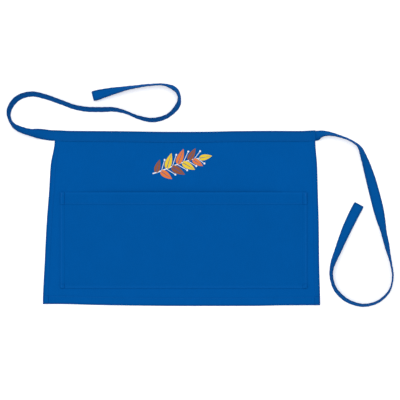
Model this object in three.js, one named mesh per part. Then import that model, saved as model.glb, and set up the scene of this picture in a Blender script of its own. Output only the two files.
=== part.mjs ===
// Short waist apron of royal-blue twill, lying flat on its back with its two ties beside it.
// Millimetres, +X to the right, +Y towards the waistband, +Z up off the surface that it lies on.
// The origin is on the panel's flat underside, midway across the hem and midway up the apron.

import * as THREE from "three";

// Cloth
const cloth = 1;              // one layer of twill
const clearance = 0.3;        // air between two pieces that are sewn together
const ease = 4;               // length over which a surface steps from one layer to two

// Apron
const hemWidth = 653;         // across the bottom
const narrowing = 39;         // how much narrower the waist is than the hem
const apronHeight = 414;      // from the lowest point of the hem to the highest of the waistband
const hemBow = 4.5;           // how far the middle of the hem hangs below its left corner
const sideHem = 12;           // width of the folded hem down each side
const bottomHem = 20;         // width of the folded hem along the bottom

// Waistband
const bandWidth = 25;         // width of the folded tape
const bandLap = 14;           // how far the panel reaches in between the tape's two walls
const bandSag = 3.7;          // how far the middle of the waistband lies below its left end
const bandRamp = 30;          // stretch of panel that climbs from the surface to the waistband

// Pocket
const pocketSide = 24;        // from the inside of a side hem, at the hem's width, to the pocket
const pocketRise = 22;        // from the inside of the bottom hem to the pocket
const pocketHeight = 226;     // from the pocket's bottom seam to its mouth
const pocketShift = 5;        // how far right of the middle the pocket is sewn
const pocketTurn = 9;         // edge turned under along the sides and the bottom
const mouthHem = 28;          // folded hem along the mouth
const mouthGape = 8;          // how far the middle of the mouth stands open

// Ties
const tieWidth = 25;
const tieThickness = 2;       // the tape folded on itself and stitched
const tieEdge = 0.6;          // how far the folded edge of a tie is rounded in
const leftTieLength = 816;
const rightTieLength = 830;
const tieRoot = 15;           // stretch over which the waistband's height thins to the tie's
const tieTurn = 20;           // stretch turned back at a tie's free end
const tieTurnThickness = 3;   // thickness of that turned end

// How finely the pieces are divided
const tieSteps = 140;
const bandSteps = 28;
const foldSteps = 6;
const panelColumns = 14;
const panelRows = 9;
const pocketColumns = 16;
const pocketRows = 12;

// Side edges of the skirt: share of the narrowing taken in on each side at a share of the height
const sideRows = [
  { up: 0.00, left: 0.000, right: 0.000 },
  { up: 0.25, left: 0.105, right: 0.055 },
  { up: 0.50, left: 0.230, right: 0.085 },
  { up: 0.70, left: 0.380, right: 0.140 },
  { up: 0.85, left: 0.470, right: 0.180 },
  { up: 1.00, left: 0.710, right: 0.290 },
];

// Hem line: share of the bow reached at a share of the width, from left to right
const hemRows = [
  { across: 0.00, bow: 0.00 },
  { across: 0.07, bow: 0.02 },
  { across: 0.20, bow: 0.50 },
  { across: 0.35, bow: 0.83 },
  { across: 0.50, bow: 1.00 },
  { across: 0.75, bow: 0.97 },
  { across: 0.87, bow: 0.70 },
  { across: 1.00, bow: 0.63 },
];

// Top edge of the waistband: share of the sag reached at a share of the width
const bandRows = [
  { across: 0.00, sag: 0.00 },
  { across: 0.06, sag: 0.38 },
  { across: 0.25, sag: 0.62 },
  { across: 0.45, sag: 1.00 },
  { across: 0.57, sag: 0.95 },
  { across: 0.70, sag: 0.55 },
  { across: 0.82, sag: 0.40 },
  { across: 0.94, sag: 0.48 },
  { across: 1.00, sag: 0.10 },
];

// Pocket: share of the gape reached across the pocket, and up it
const gapeAcrossRows = [
  { across: 0.00, lift: 0.00 },
  { across: 0.03, lift: 0.00 },
  { across: 0.15, lift: 0.50 },
  { across: 0.28, lift: 0.95 },
  { across: 0.50, lift: 1.00 },
  { across: 0.72, lift: 0.95 },
  { across: 0.85, lift: 0.50 },
  { across: 0.97, lift: 0.00 },
  { across: 1.00, lift: 0.00 },
];
const gapeUpRows = [
  { up: 0.00, lift: 0.00 },
  { up: 0.05, lift: 0.00 },
  { up: 0.25, lift: 0.55 },
  { up: 0.45, lift: 0.85 },
  { up: 0.75, lift: 0.98 },
  { up: 1.00, lift: 1.00 },
];

// Route of each tie: at a share of its length, the way it heads (degrees from +X towards +Y), and
// how far it leans over from lying flat (degrees: above 0 its left edge is the raised one)
const leftTieRows = [
  { along: 0.000, heading: 180, lean: 0 },
  { along: 0.020, heading: 171, lean: 3 },
  { along: 0.045, heading: 172, lean: 21 },
  { along: 0.070, heading: 169, lean: 49 },
  { along: 0.106, heading: 153, lean: 59 },
  { along: 0.140, heading: 115, lean: 77 },
  { along: 0.173, heading: 73, lean: 67 },
  { along: 0.207, heading: 40, lean: 62 },
  { along: 0.247, heading: 7, lean: 64 },
  { along: 0.287, heading: -16, lean: 65 },
  { along: 0.357, heading: -21, lean: 67 },
  { along: 0.426, heading: -4, lean: 65 },
  { along: 0.476, heading: 2, lean: 66 },
  { along: 0.517, heading: -13, lean: 72 },
  { along: 0.547, heading: -23, lean: 77 },
  { along: 0.582, heading: -17, lean: 72 },
  { along: 0.627, heading: 8, lean: 68 },
  { along: 0.669, heading: 36, lean: 71 },
  { along: 0.700, heading: 59, lean: 65 },
  { along: 0.729, heading: 97, lean: 76 },
  { along: 0.760, heading: 146, lean: 68 },
  { along: 0.786, heading: 169, lean: 79 },
  { along: 0.807, heading: 181, lean: 82 },
  { along: 0.847, heading: 187, lean: 79 },
  { along: 0.897, heading: 190, lean: 69 },
  { along: 0.943, heading: 193, lean: 46 },
  { along: 1.000, heading: 195, lean: 18 },
];
const rightTieRows = [
  { along: 0.000, heading: 0, lean: 0 },
  { along: 0.005, heading: 24, lean: -25 },
  { along: 0.015, heading: 16, lean: -48 },
  { along: 0.033, heading: -5, lean: -65 },
  { along: 0.065, heading: -16, lean: -78 },
  { along: 0.100, heading: -25, lean: -82 },
  { along: 0.120, heading: -36, lean: -80 },
  { along: 0.150, heading: -68, lean: -62 },
  { along: 0.190, heading: -72, lean: -42 },
  { along: 0.250, heading: -75, lean: -16 },
  { along: 0.299, heading: -76, lean: -4 },
  { along: 0.344, heading: -77, lean: -29 },
  { along: 0.388, heading: -77, lean: -57 },
  { along: 0.422, heading: -77, lean: -62 },
  { along: 0.469, heading: -77, lean: -79 },
  { along: 0.493, heading: -81, lean: -82 },
  { along: 0.533, heading: -101, lean: -83 },
  { along: 0.573, heading: -132, lean: -78 },
  { along: 0.618, heading: -162, lean: -76 },
  { along: 0.663, heading: -193, lean: -74 },
  { along: 0.713, heading: -221, lean: -71 },
  { along: 0.762, heading: -254, lean: -75 },
  { along: 0.792, heading: -273, lean: -74 },
  { along: 0.829, heading: -292, lean: -61 },
  { along: 0.881, heading: -292, lean: -44 },
  { along: 0.930, heading: -295, lean: -25 },
  { along: 1.000, heading: -298, lean: -6 },
];

// Sizes that follow from the ones above
const halfHem = hemWidth / 2;
const halfHeight = apronHeight / 2;
const skirtLength = apronHeight - bandWidth;
const bandThickness = 3 * cloth + 2 * clearance;
const panelLift = cloth + clearance;
const pocketWidth = hemWidth - 2 * (sideHem + pocketSide);
const pocketBottom = -halfHeight + bottomHem + pocketRise;

// Reads one column of a table between its rows, on a smooth curve that never overshoots them
function readRows(rows, place, column, at) {
  const last = rows.length - 1;
  let i = 0;
  while (i < last - 1 && at > rows[i + 1][place]) i += 1;
  const slope = (k) => (rows[k + 1][column] - rows[k][column]) / (rows[k + 1][place] - rows[k][place]);
  const tangent = (k) => {
    if (k === 0 || k === last) return 0;
    const before = slope(k - 1);
    const after = slope(k);
    return before * after > 0 ? (2 * before * after) / (before + after) : 0;
  };
  const span = rows[i + 1][place] - rows[i][place];
  const t = THREE.MathUtils.clamp((at - rows[i][place]) / span, 0, 1);
  return (
    rows[i][column] * (2 * t ** 3 - 3 * t ** 2 + 1) +
    rows[i + 1][column] * (3 * t ** 2 - 2 * t ** 3) +
    tangent(i) * span * (t ** 3 - 2 * t ** 2 + t) +
    tangent(i + 1) * span * (t ** 3 - t ** 2)
  );
}

// 1 inside a border of this width, falling to 0 over the ease beyond it
function inBorder(distance, width) {
  return 1 - THREE.MathUtils.smoothstep(distance, width, width + ease);
}

// Places that divide a length: at each border's two steps, and evenly in between
function divide(length, firstBorder, lastBorder, count) {
  const from = firstBorder + ease;
  const to = length - lastBorder - ease;
  const between = Array.from({ length: count + 1 }, (_, i) => from + ((to - from) * i) / count);
  const start = [0, firstBorder, firstBorder + ease / 2];
  const end = [length - lastBorder - ease / 2, length - lastBorder, length];
  return [...start, ...between, ...end];
}

// Closed body through a row of rings. Seen from the last ring's side each ring runs anticlockwise,
// and so do the two flat faces that close the first and the last.
function bodyThroughRings(rings, firstFace, lastFace) {
  const sides = rings[0].length;
  const index = [];
  for (let r = 0; r + 1 < rings.length; r += 1) {
    for (let s = 0; s < sides; s += 1) {
      const a = r * sides + s;
      const b = r * sides + ((s + 1) % sides);
      index.push(a, b, b + sides, a, b + sides, a + sides);
    }
  }
  const lastRing = (rings.length - 1) * sides;
  for (const [a, b, c] of THREE.ShapeUtils.triangulateShape(firstFace, [])) index.push(a, c, b);
  for (const [a, b, c] of THREE.ShapeUtils.triangulateShape(lastFace, [])) {
    index.push(lastRing + a, lastRing + b, lastRing + c);
  }
  const geometry = new THREE.BufferGeometry().setFromPoints(rings.flat());
  geometry.setIndex(index);
  geometry.computeVertexNormals();
  return geometry;
}

// Closed sheet of cloth over a grid, between the low and the high surface that locate gives
function sheetBody(acrossPlaces, upPlaces, locate) {
  const rings = upPlaces.map((up) => {
    const places = acrossPlaces.map((across) => locate(across, up));
    const under = places.map(({ x, y, low }) => new THREE.Vector3(x, y, low)).reverse();
    const over = places.map(({ x, y, high }) => new THREE.Vector3(x, y, high));
    return [...under, ...over];
  });
  const face = (ring) => ring.map((point) => new THREE.Vector2(-point.x, point.z));
  return bodyThroughRings(rings, face(rings[0]), face(rings[rings.length - 1]));
}

// The apron's outline
function leftEdge(up) {
  return -halfHem + narrowing * readRows(sideRows, "up", "left", up);
}

function rightEdge(up) {
  return halfHem - narrowing * readRows(sideRows, "up", "right", up);
}

function hemLine(across) {
  return -halfHeight + hemBow * (1 - readRows(hemRows, "across", "bow", across));
}

function bandTop(across) {
  return halfHeight - bandSag * readRows(bandRows, "across", "sag", across);
}

// Skirt panel: one layer with doubled hems, lifted at the top to pass between the waistband's walls
function panelGeometry() {
  const across = divide(hemWidth, sideHem, sideHem, panelColumns);
  const belowRamp = divide(skirtLength - bandRamp, bottomHem, 0, panelRows).slice(0, -3);
  const ramp = [1, 0.7, 0.4, 0].map((share) => skirtLength - ease - share * (bandRamp - ease));
  const up = [...belowRamp, ...ramp, skirtLength, skirtLength + bandLap];
  return sheetBody(across, up, (a, b) => {
    const u = a / hemWidth;
    const v = Math.min(b / skirtLength, 1);
    const bandEdge = bandTop(u) - bandWidth;
    const lift = THREE.MathUtils.smoothstep(b, skirtLength - bandRamp, skirtLength - ease);
    const hem = Math.max(inBorder(a, sideHem), inBorder(hemWidth - a, sideHem), inBorder(b, bottomHem));
    const low = panelLift * lift;
    return {
      x: THREE.MathUtils.lerp(leftEdge(v), rightEdge(v), u),
      y: THREE.MathUtils.lerp(hemLine(u), bandEdge, v) + Math.max(b - skirtLength, 0),
      low,
      high: low + cloth * (1 + hem * (1 - lift)),
    };
  });
}

// Patch pocket: sewn down on three sides, with its hemmed mouth standing a little open
function pocketGeometry() {
  const across = divide(pocketWidth, pocketTurn, pocketTurn, pocketColumns);
  const up = divide(pocketHeight, pocketTurn, mouthHem, pocketRows);
  return sheetBody(across, up, (a, b) => {
    const gapeAcross = readRows(gapeAcrossRows, "across", "lift", a / pocketWidth);
    const gapeUp = readRows(gapeUpRows, "up", "lift", b / pocketHeight);
    const low = cloth + clearance + mouthGape * gapeAcross * gapeUp;
    const turned = Math.max(
      inBorder(a, pocketTurn),
      inBorder(pocketWidth - a, pocketTurn),
      inBorder(b, pocketTurn),
      inBorder(pocketHeight - b, mouthHem),
    );
    return {
      x: pocketShift - pocketWidth / 2 + a,
      y: pocketBottom + b,
      low,
      high: low + cloth * (1 + turned),
    };
  });
}

// Waistband: tape folded over the panel's top edge, open below, with its fold along the top
function waistbandGeometry() {
  const outer = bandThickness / 2;
  const arc = (radius, from, to) => {
    return Array.from({ length: foldSteps + 1 }, (_, i) => {
      const angle = THREE.MathUtils.lerp(from, to, i / foldSteps);
      return new THREE.Vector2(radius * Math.cos(angle) - outer, radius * Math.sin(angle) + outer);
    });
  };
  const section = [
    new THREE.Vector2(-bandWidth, 0),
    ...arc(outer, -Math.PI / 2, Math.PI / 2),
    new THREE.Vector2(-bandWidth, bandThickness),
    new THREE.Vector2(-bandWidth, bandThickness - cloth),
    ...arc(outer - cloth, Math.PI / 2, -Math.PI / 2),
    new THREE.Vector2(-bandWidth, cloth),
  ];
  const rings = Array.from({ length: bandSteps + 1 }, (_, i) => {
    const u = i / bandSteps;
    const x = THREE.MathUtils.lerp(leftEdge(1), rightEdge(1), u);
    return section.map((corner) => new THREE.Vector3(x, bandTop(u) + corner.x, corner.y));
  });
  return bodyThroughRings(rings, section, section);
}

// Thickness of a tie at a distance from its root
function tieThicknessAt(distance, length) {
  const root = 1 - THREE.MathUtils.smoothstep(distance, 0, tieRoot);
  const turn = THREE.MathUtils.smoothstep(distance, length - tieTurn - ease, length - tieTurn);
  return tieThickness + (bandThickness - tieThickness) * root + (tieTurnThickness - tieThickness) * turn;
}

// Tie: a flat strap that follows its table of headings and leans, its lowest edge on the surface
function tieGeometry(rows, length, start) {
  const step = length / tieSteps;
  const centre = start.clone();
  const rings = [];
  const faces = [];
  for (let i = 0; i <= tieSteps; i += 1) {
    const along = i / tieSteps;
    const heading = THREE.MathUtils.degToRad(readRows(rows, "along", "heading", along));
    const lean = THREE.MathUtils.degToRad(readRows(rows, "along", "lean", along));
    const halfWidth = tieWidth / 2;
    const halfThick = tieThicknessAt(along * length, length) / 2;
    const section = [
      new THREE.Vector2(halfWidth, 0),
      new THREE.Vector2(halfWidth - tieEdge, halfThick),
      new THREE.Vector2(tieEdge - halfWidth, halfThick),
      new THREE.Vector2(-halfWidth, 0),
      new THREE.Vector2(tieEdge - halfWidth, -halfThick),
      new THREE.Vector2(halfWidth - tieEdge, -halfThick),
    ].map((corner) => corner.rotateAround(new THREE.Vector2(), lean));
    const lowest = Math.min(...section.map((corner) => corner.y));
    faces.push(section);
    rings.push(section.map((corner) => new THREE.Vector3(
      centre.x - corner.x * Math.sin(heading),
      centre.y + corner.x * Math.cos(heading),
      corner.y - lowest,
    )));
    const halfway = readRows(rows, "along", "heading", along + 0.5 / tieSteps);
    centre.x += step * Math.cos(THREE.MathUtils.degToRad(halfway));
    centre.y += step * Math.sin(THREE.MathUtils.degToRad(halfway));
  }
  return bodyThroughRings(rings, faces[0], faces[tieSteps]);
}

// Finish of each piece
function twill(color) {
  return new THREE.MeshStandardMaterial({ color, roughness: 0.9, metalness: 0, side: THREE.FrontSide });
}

function piece(name, geometry, color) {
  const mesh = new THREE.Mesh(geometry, twill(color));
  mesh.name = name;
  return mesh;
}

const leftRoot = new THREE.Vector2(leftEdge(1) - clearance, bandTop(0) - bandWidth / 2);
const rightRoot = new THREE.Vector2(rightEdge(1) + clearance, bandTop(1) - bandWidth / 2);

const apron = new THREE.Group();
apron.add(piece("panel", panelGeometry(), 0x02539e));
apron.add(piece("pocket", pocketGeometry(), 0x02539e));
apron.add(piece("waistband", waistbandGeometry(), 0x034f97));
apron.add(piece("tie_left", tieGeometry(leftTieRows, leftTieLength, leftRoot), 0x034f97));
apron.add(piece("tie_right", tieGeometry(rightTieRows, rightTieLength, rightRoot), 0x034f97));

export default apron;
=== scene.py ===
# %% [markdown]
# # A short waist apron, cut, hemmed, sewn and laid flat
# The apron is a skirt panel of royal-blue twill with a wide patch pocket, a waistband of folded
# tape, and two long ties of the same tape that lie loose beside it. It could be modelled as it
# lies, vertex by vertex, but a garment gets its look from how it was made. So each piece is cut
# here as a flat pattern, its hems are folded under, and only then is it laid in its place. The
# same steps carry the stitches along, so that they follow every fold.
#
# The frame comes first. It holds the simple solids that give every piece its size and place.

# %% Load the frame
import math

import bmesh
import bpy
import numpy as np
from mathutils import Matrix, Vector


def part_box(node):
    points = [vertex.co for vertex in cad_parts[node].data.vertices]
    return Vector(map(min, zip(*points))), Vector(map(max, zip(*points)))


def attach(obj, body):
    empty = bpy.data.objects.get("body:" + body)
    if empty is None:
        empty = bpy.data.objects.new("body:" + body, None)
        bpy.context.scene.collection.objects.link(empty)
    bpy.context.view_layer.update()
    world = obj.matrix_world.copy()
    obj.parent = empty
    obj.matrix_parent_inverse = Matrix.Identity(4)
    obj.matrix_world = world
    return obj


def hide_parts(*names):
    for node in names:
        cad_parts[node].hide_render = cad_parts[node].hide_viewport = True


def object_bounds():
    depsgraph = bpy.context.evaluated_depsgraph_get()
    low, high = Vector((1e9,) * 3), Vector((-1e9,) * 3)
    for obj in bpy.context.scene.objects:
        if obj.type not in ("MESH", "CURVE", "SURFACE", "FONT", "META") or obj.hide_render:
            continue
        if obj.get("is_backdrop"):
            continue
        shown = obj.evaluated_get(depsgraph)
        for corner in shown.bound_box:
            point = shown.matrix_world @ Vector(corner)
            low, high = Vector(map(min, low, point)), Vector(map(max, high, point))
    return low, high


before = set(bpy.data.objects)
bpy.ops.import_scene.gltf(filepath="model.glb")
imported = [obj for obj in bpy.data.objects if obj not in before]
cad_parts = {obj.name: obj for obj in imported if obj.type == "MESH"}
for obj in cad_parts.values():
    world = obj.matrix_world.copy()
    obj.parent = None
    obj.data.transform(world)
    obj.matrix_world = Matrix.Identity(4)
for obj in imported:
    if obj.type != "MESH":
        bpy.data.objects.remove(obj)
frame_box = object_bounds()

bpy.ops.object.select_all(action="DESELECT")
print("pieces in the frame:", sorted(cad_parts))

# %% [markdown]
# ## Sizes
# Blender works in metres. The main sizes are read from the frame's own boxes, so that the cloth
# ends where the solids end. Sizes that a box can't tell, such as the width of a hem, are named
# here in millimetres.

# %% Sizes read from the frame
mm = 0.001
panel_low, panel_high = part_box("panel")
band_low, band_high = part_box("waistband")
pocket_low, pocket_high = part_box("pocket")

hem_width = panel_high.x - panel_low.x
narrowing = hem_width - (band_high.x - band_low.x)
apron_bottom = panel_low.y
apron_top = band_high.y
band_width = 25 * mm
skirt_length = apron_top - apron_bottom - band_width
pocket_width = pocket_high.x - pocket_low.x
pocket_height = pocket_high.y - pocket_low.y
print(f"hem {hem_width / mm:.0f} mm wide, skirt {skirt_length / mm:.0f} mm long")
print(f"pocket {pocket_width / mm:.0f} by {pocket_height / mm:.0f} mm")

# %% [markdown]
# ## Camera
# The photograph looks straight down at the apron. A long lens far away keeps the lines of sight
# nearly parallel, as in a catalogue picture. One pixel of the photograph covers 2.355 mm of
# cloth, which follows from the tape being 25 mm wide.

# %% Camera straight above
pixel = 2.355 * mm
photo_pixels = 400
origin_column, origin_row = 181.5, 218.1
lens_mm, sensor_mm = 500, 36

view_width = photo_pixels * pixel
middle_x = (photo_pixels / 2 - origin_column) * pixel
middle_y = (origin_row - photo_pixels / 2) * pixel
bpy.ops.object.camera_add(
    location=(middle_x, middle_y, view_width * lens_mm / sensor_mm), rotation=(0, 0, 0)
)
camera = bpy.context.object
camera.name = "catalogue_camera"
camera.data.lens = lens_mm
camera.data.sensor_width = sensor_mm
bpy.context.scene.camera = camera
print(f"camera {camera.location.z:.2f} m up sees {view_width:.3f} m of the surface")

# %% [markdown]
# ## Outline of the apron
# Cloth never has ruler-straight edges: the skirt narrows towards the waist, the hem bows and the
# waistband sags a little. Each of these lines is a short table of shares, read off between its
# rows on a smooth curve. A spline object could do the same, but a function can be asked for any
# point, which is what laying the cloth needs.

# %% Reading between the rows of a table
def read_rows(rows, place, column, at):
    """Reads a column anywhere between the rows, on a smooth curve that never overshoots them."""
    x = np.array([row[place] for row in rows])
    y = np.array([row[column] for row in rows])
    slope = np.diff(y) / np.diff(x)
    product = slope[:-1] * slope[1:]
    total = np.where(product > 0, slope[:-1] + slope[1:], 1)
    tangent = np.zeros(len(x))
    tangent[1:-1] = np.where(product > 0, 2 * product / total, 0)
    i = np.clip(np.searchsorted(x, at, side="right") - 1, 0, len(x) - 2)
    span = x[i + 1] - x[i]
    t = np.clip((at - x[i]) / span, 0, 1)
    return (
        y[i] * (2 * t**3 - 3 * t**2 + 1)
        + y[i + 1] * (3 * t**2 - 2 * t**3)
        + tangent[i] * span * (t**3 - 2 * t**2 + t)
        + tangent[i + 1] * span * (t**3 - t**2)
    )


def smooth_step(value, low, high):
    """0 below low, 1 above high, and a smooth rise in between."""
    t = np.clip((value - low) / (high - low), 0, 1)
    return t * t * (3 - 2 * t)


print("a smooth step is at", smooth_step(0.25, 0, 1), "after a quarter")

# %% Tables of the outline
hem_bow = 4.5 * mm
band_sag = 3.7 * mm

# Share of the narrowing that each side has taken in at a share of the height
side_rows = [
    {"up": 0.00, "left": 0.000, "right": 0.000},
    {"up": 0.25, "left": 0.105, "right": 0.055},
    {"up": 0.50, "left": 0.230, "right": 0.085},
    {"up": 0.70, "left": 0.380, "right": 0.140},
    {"up": 0.85, "left": 0.470, "right": 0.180},
    {"up": 1.00, "left": 0.710, "right": 0.290},
]

# Share of the bow that the hem line has reached at a share of the width
hem_rows = [
    {"across": 0.00, "bow": 0.00},
    {"across": 0.07, "bow": 0.02},
    {"across": 0.20, "bow": 0.50},
    {"across": 0.35, "bow": 0.83},
    {"across": 0.50, "bow": 1.00},
    {"across": 0.75, "bow": 0.97},
    {"across": 0.87, "bow": 0.70},
    {"across": 1.00, "bow": 0.63},
]

# Share of the sag that the top of the waistband has reached at a share of the width
band_rows = [
    {"across": 0.00, "sag": 0.00},
    {"across": 0.06, "sag": 0.38},
    {"across": 0.25, "sag": 0.62},
    {"across": 0.45, "sag": 1.00},
    {"across": 0.57, "sag": 0.95},
    {"across": 0.70, "sag": 0.55},
    {"across": 0.82, "sag": 0.40},
    {"across": 0.94, "sag": 0.48},
    {"across": 1.00, "sag": 0.10},
]
print("rows for sides, hem and waistband:", len(side_rows), len(hem_rows), len(band_rows))

# %% Lines of the outline
def left_edge(up):
    return -hem_width / 2 + narrowing * read_rows(side_rows, "up", "left", up)


def right_edge(up):
    return hem_width / 2 - narrowing * read_rows(side_rows, "up", "right", up)


def hem_line(across):
    return apron_bottom + hem_bow * (1 - read_rows(hem_rows, "across", "bow", across))


def band_top(across):
    return apron_top - band_sag * read_rows(band_rows, "across", "sag", across)


print(f"waist {(right_edge(1.0) - left_edge(1.0)) / mm:.0f} mm wide")

# %% [markdown]
# ## How the cloth lies
# A pressed apron laid on a table isn't dead flat: a few long, low swells run through it, and the
# stitched hem ripples. A cloth simulation would find such swells by chance. A short table of
# ridges puts them where they do no harm, keeps the layers from passing through each other,
# and gives the same result on every run. Each ridge is a hill with a smooth profile both ways.

# %% Swells of the cloth
swell_rows = [
    {"x": -235, "y": 20, "heading": 82, "long": 150, "wide": 26, "high": 2.1},
    {"x": -120, "y": -70, "heading": 64, "long": 130, "wide": 30, "high": 1.7},
    {"x": -20, "y": 40, "heading": 97, "long": 120, "wide": 34, "high": 1.3},
    {"x": 95, "y": -55, "heading": 118, "long": 140, "wide": 28, "high": 1.9},
    {"x": 190, "y": 70, "heading": 86, "long": 110, "wide": 24, "high": 1.6},
    {"x": 262, "y": -60, "heading": 95, "long": 150, "wide": 22, "high": 2.2},
    {"x": 60, "y": 135, "heading": 12, "long": 120, "wide": 20, "high": 1.0},
    {"x": -170, "y": 140, "heading": -9, "long": 90, "wide": 18, "high": 1.1},
]
hem_ripples = 15
ripple_long, ripple_wide = 26, 11
ripple_shift, ripple_turn = (0.2, 0.8), (-12, 12)
ripple_spread, ripple_high = (0.7, 1.3), (0.5, 1.3)
held_from, held_by = 90 * mm, 20 * mm
ties_from, ties_by = 0.36, 0.45

ripple_random = np.random.default_rng(11)
for number in range(hem_ripples):
    share = (number + ripple_random.uniform(*ripple_shift)) / hem_ripples
    swell_rows.append({
        "x": (share - 0.5) * hem_width / mm,
        "y": apron_bottom / mm + 4,
        "heading": 90 + ripple_random.uniform(*ripple_turn),
        "long": ripple_long * ripple_random.uniform(*ripple_spread),
        "wide": ripple_wide * ripple_random.uniform(*ripple_spread),
        "high": ripple_random.uniform(*ripple_high),
    })


def swell(x, y):
    """Height of the cloth's swells over the surface that it lies on.

    The cloth is held down where it nears the waistband at either tie.
    """
    height = np.zeros_like(x)
    for row in swell_rows:
        turn = math.radians(row["heading"])
        east, north = x - row["x"] * mm, y - row["y"] * mm
        along = (east * math.cos(turn) + north * math.sin(turn)) / (row["long"] * mm)
        across = (north * math.cos(turn) - east * math.sin(turn)) / (row["wide"] * mm)
        height += row["high"] * mm * np.exp(-(along**2) - across**2)
    held = smooth_step(y, apron_top - held_from, apron_top - held_by)
    by_the_ties = smooth_step(np.abs(x) / hem_width, ties_from, ties_by)
    return height * (1 - held * by_the_ties)


print(len(swell_rows), "swells and ripples")

# %% [markdown]
# ## Cutting and folding cloth
# Each piece starts as a grid primitive, the flat pattern. Its hem allowances are extruded from
# its borders, rows of edges are bisected in where a fold's end will show, and Solidify gives the
# cloth its thickness while it is still flat. A fold then only bends what lies past the fold line
# round half a turn. One function does that for every hem, with the layers stacking up as they
# do in sewing.

# %% Cloth and its folds
cloth = 0.9 * mm
air = 0.1 * mm
layer = cloth + air
grid_spacing = 3.2 * mm
fold_steps, corner_fold_steps = 6, 10
hem_step = 1.5 * mm
sharp_from = math.radians(50)
tiny = 1e-6


def cut_grid(name, low, high, columns, rows):
    """Adds a flat grid of cloth between two corners."""
    bpy.ops.object.select_all(action="DESELECT")
    bpy.ops.mesh.primitive_grid_add(
        x_subdivisions=columns,
        y_subdivisions=rows,
        size=1,
        location=((low[0] + high[0]) / 2, (low[1] + high[1]) / 2, 0),
    )
    sheet = bpy.context.object
    sheet.name = name
    sheet.scale = (high[0] - low[0], high[1] - low[1], 1)
    bpy.ops.object.transform_apply(location=True, rotation=False, scale=True)
    return sheet


def extrude_border(sheet, way, steps):
    """Extrudes the border edges that face a way outwards, by each step in turn."""
    way = Vector(way)
    bpy.ops.object.mode_set(mode="EDIT")
    bpy.ops.mesh.select_mode(type="EDGE")
    bpy.ops.mesh.select_all(action="DESELECT")
    mesh = bmesh.from_edit_mesh(sheet.data)
    reach = max(corner.co.dot(way) for corner in mesh.verts)
    for edge in mesh.edges:
        edge.select_set(all(corner.co.dot(way) > reach - tiny for corner in edge.verts))
    bmesh.update_edit_mesh(sheet.data)
    for step in steps:
        bpy.ops.mesh.extrude_region_move(TRANSFORM_OT_translate={"value": way * step})
    bpy.ops.object.mode_set(mode="OBJECT")


def bisect_line(sheet, point, normal):
    """Cuts the flat sheet along a line, so that a row of edges lies exactly there."""
    bpy.ops.object.mode_set(mode="EDIT")
    bpy.ops.mesh.select_all(action="SELECT")
    bpy.ops.mesh.bisect(plane_co=point, plane_no=normal)
    bpy.ops.object.mode_set(mode="OBJECT")


def thicken(sheet, thickness):
    """Turns the flat sheet into a closed wall that stands on the pattern's plane."""
    solidify = sheet.modifiers.new("thickness", "SOLIDIFY")
    solidify.thickness = thickness
    solidify.offset = 1
    bpy.ops.object.modifier_apply(modifier=solidify.name)


def hem_rows_of(fold, fold_rows, flat, flat_rows):
    """Widths of the rows of faces in a hem: those in the fold, then those that lie flat."""
    return [fold / fold_rows] * fold_rows + [flat / flat_rows] * flat_rows


def step_lines(width):
    """Where the cloth steps down past a hem of this width that lies under it."""
    return (width, width + hem_step / 2, width + hem_step)


def read_points(sheet):
    """Places of all points, as rows of x, y and z."""
    points = np.empty(len(sheet.data.vertices) * 3)
    sheet.data.vertices.foreach_get("co", points)
    return points.reshape(-1, 3).T


def write_points(sheet, x, y, z):
    """Moves all points to new places."""
    sheet.data.vertices.foreach_set("co", np.stack([x, y, z], 1).ravel())
    sheet.data.update()


print(f"one layer of cloth takes {layer / mm:.1f} mm of height")

# %% One fold
def fold_under(place, height, bend, depth=0.0, gap=air):
    """Bends what lies past the fold line, at places below 0, half a turn round and under the rest.

    bend is the length of cloth in the fold, depth is how far other layers hang below height 0,
    and gap is the air between the two sides of the fold.
    """
    turn = math.pi * np.clip(-place / bend, 0, 1)
    radius = height + depth + gap / 2
    flat = np.maximum(place, 0) + np.maximum(-place - bend, 0)
    return flat - radius * np.sin(turn), radius * np.cos(turn) - depth - gap / 2


def stacked(distance, width):
    """1 where a hem of this width lies under the cloth, falling to 0 just past it."""
    return 1 - smooth_step(distance, width, width + hem_step)


bend = math.pi * layer / 2
roll = cloth + air / 2
print(f"a fold takes {bend / mm:.2f} mm of cloth")

# %% Marks on the cloth
def mark_cloth(sheet, cut_x, cut_y, to_edge, to_seams):
    """Keeps where each point lay on the flat pattern, for the materials.

    The UV map "cut" is the pattern in metres. The attributes are the distance to the nearest
    folded edge, and the signed distances to the rows of stitches, up to three of them.
    """
    mesh = sheet.data
    corner_points = np.empty(len(mesh.loops), int)
    mesh.loops.foreach_get("vertex_index", corner_points)
    cut = mesh.uv_layers[0] if mesh.uv_layers else mesh.uv_layers.new()
    cut.name = "cut"
    cut.uv.foreach_set("vector", np.stack([cut_x, cut_y], 1)[corner_points].ravel())
    edge = mesh.attributes.new("to_edge", "FLOAT", "POINT")
    edge.data.foreach_set("value", to_edge)
    seams = mesh.attributes.new("to_seams", "FLOAT_VECTOR", "POINT")
    seams.data.foreach_set("vector", np.stack(to_seams, 1).ravel())


def smooth_faces(sheet):
    """Shades the faces smooth, with the cut edges kept sharp."""
    bpy.ops.object.select_all(action="DESELECT")
    sheet.select_set(True)
    bpy.context.view_layer.objects.active = sheet
    bpy.ops.object.shade_smooth_by_angle(angle=sharp_from)


far_away = 1.0
print(f"a seam that a piece lacks counts as {far_away:.0f} m away")

# %% [markdown]
# ## Skirt panel
# The panel is one layer of twill. Its side hems are folded under first, then the bottom hem over
# them, so a corner is four layers thick. Its top edge is left raw, because it goes in between the
# two walls of the waistband.

# %% Cut the panel
side_hem = 12 * mm
bottom_hem = 20 * mm
band_lap = 14 * mm
side_flat_rows, bottom_flat_rows = 3, 5
panel_length = skirt_length + band_lap

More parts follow.
